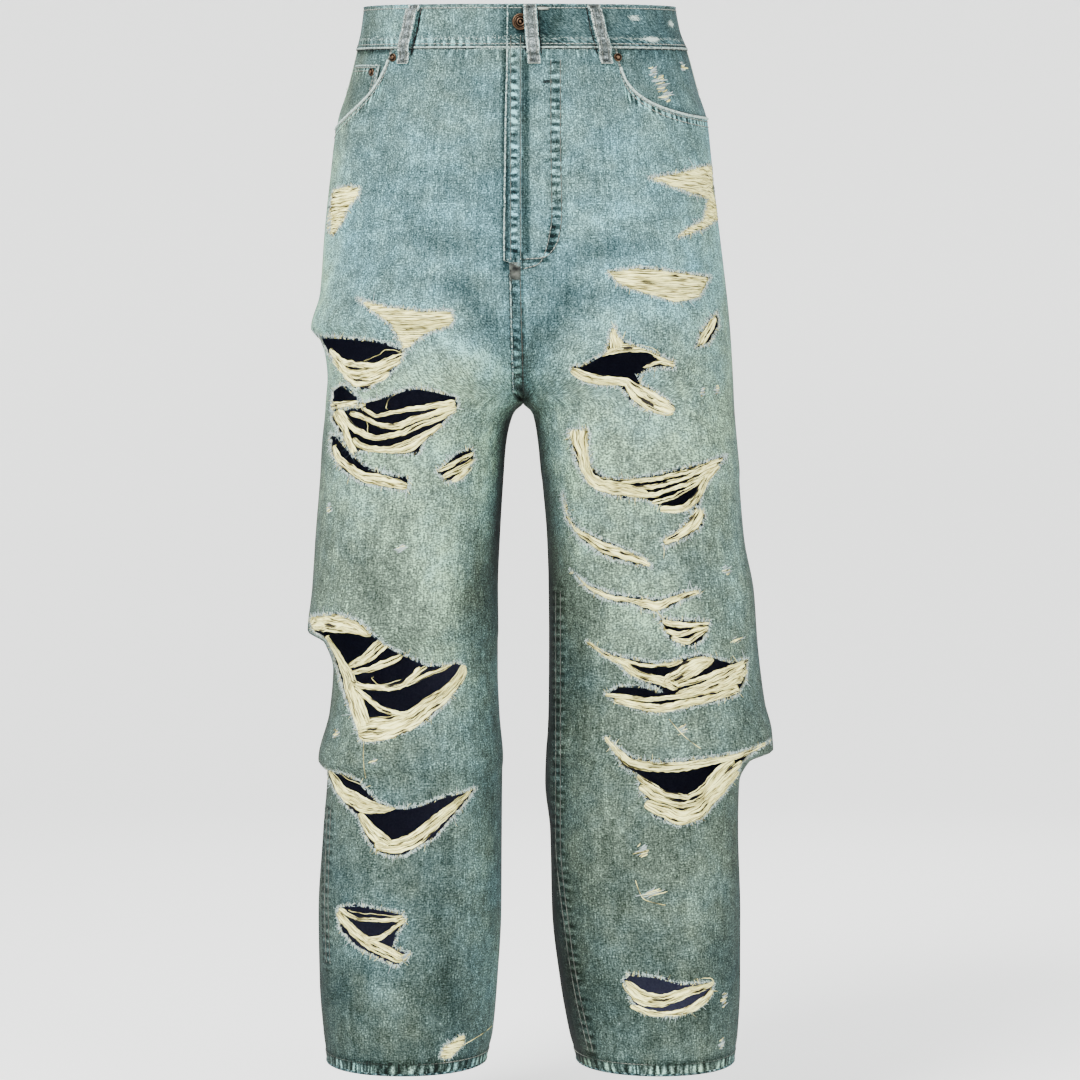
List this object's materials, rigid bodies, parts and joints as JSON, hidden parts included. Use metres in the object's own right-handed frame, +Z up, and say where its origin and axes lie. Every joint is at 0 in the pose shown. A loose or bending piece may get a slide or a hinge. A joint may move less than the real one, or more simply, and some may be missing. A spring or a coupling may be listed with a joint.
{
  "type": "ripped jeans",
  "caption": "Wide-leg ripped jeans, hollow as if worn, with torn fronts, a button fly, curved pockets, belt loops and open hems.",
  "frame": {"origin": "centre of the waistband's loop at half its height, where a waist holds the garment", "axes": "+Z up the garment, -Y out of its front, +X towards the wearer's left"},
  "size_m": [0.461, 0.2827, 1.0638],
  "materials": {
    "denim_front": "washed, heathered, matt",
    "denim_back": "washed, heathered, matt",
    "denim_yoke": "washed, heathered, matt",
    "denim_facing": "washed, matt",
    "denim_pocket": "washed, matt",
    "denim_waistband": "washed, worn pale at its edges",
    "denim_placket": "washed, puckered, worn pale at its edge",
    "denim_belt_loop": "washed, worn pale at its edges",
    "aged_copper": "aged copper, satin"
  },
  "bodies": {
    "root": {"front_right": "denim_front", "front_left": "denim_front", "back_right": "denim_back", "back_left": "denim_back", "yoke_right": "denim_yoke", "yoke_left": "denim_yoke", "pocket_facing_right": "denim_facing", "pocket_facing_left": "denim_facing", "coin_pocket": "denim_pocket", "back_pocket_right": "denim_pocket", "back_pocket_left": "denim_pocket", "fly_placket": "denim_placket", "waistband": "denim_waistband", "button": "aged_copper", "belt_loop_1": "denim_belt_loop", "belt_loop_2": "denim_belt_loop", "belt_loop_3": "denim_belt_loop", "belt_loop_4": "denim_belt_loop", "belt_loop_5": "denim_belt_loop", "belt_loop_6": "denim_belt_loop", "rivet_1": "aged_copper", "rivet_2": "aged_copper", "rivet_3": "aged_copper"}
  },
  "joints": []
}
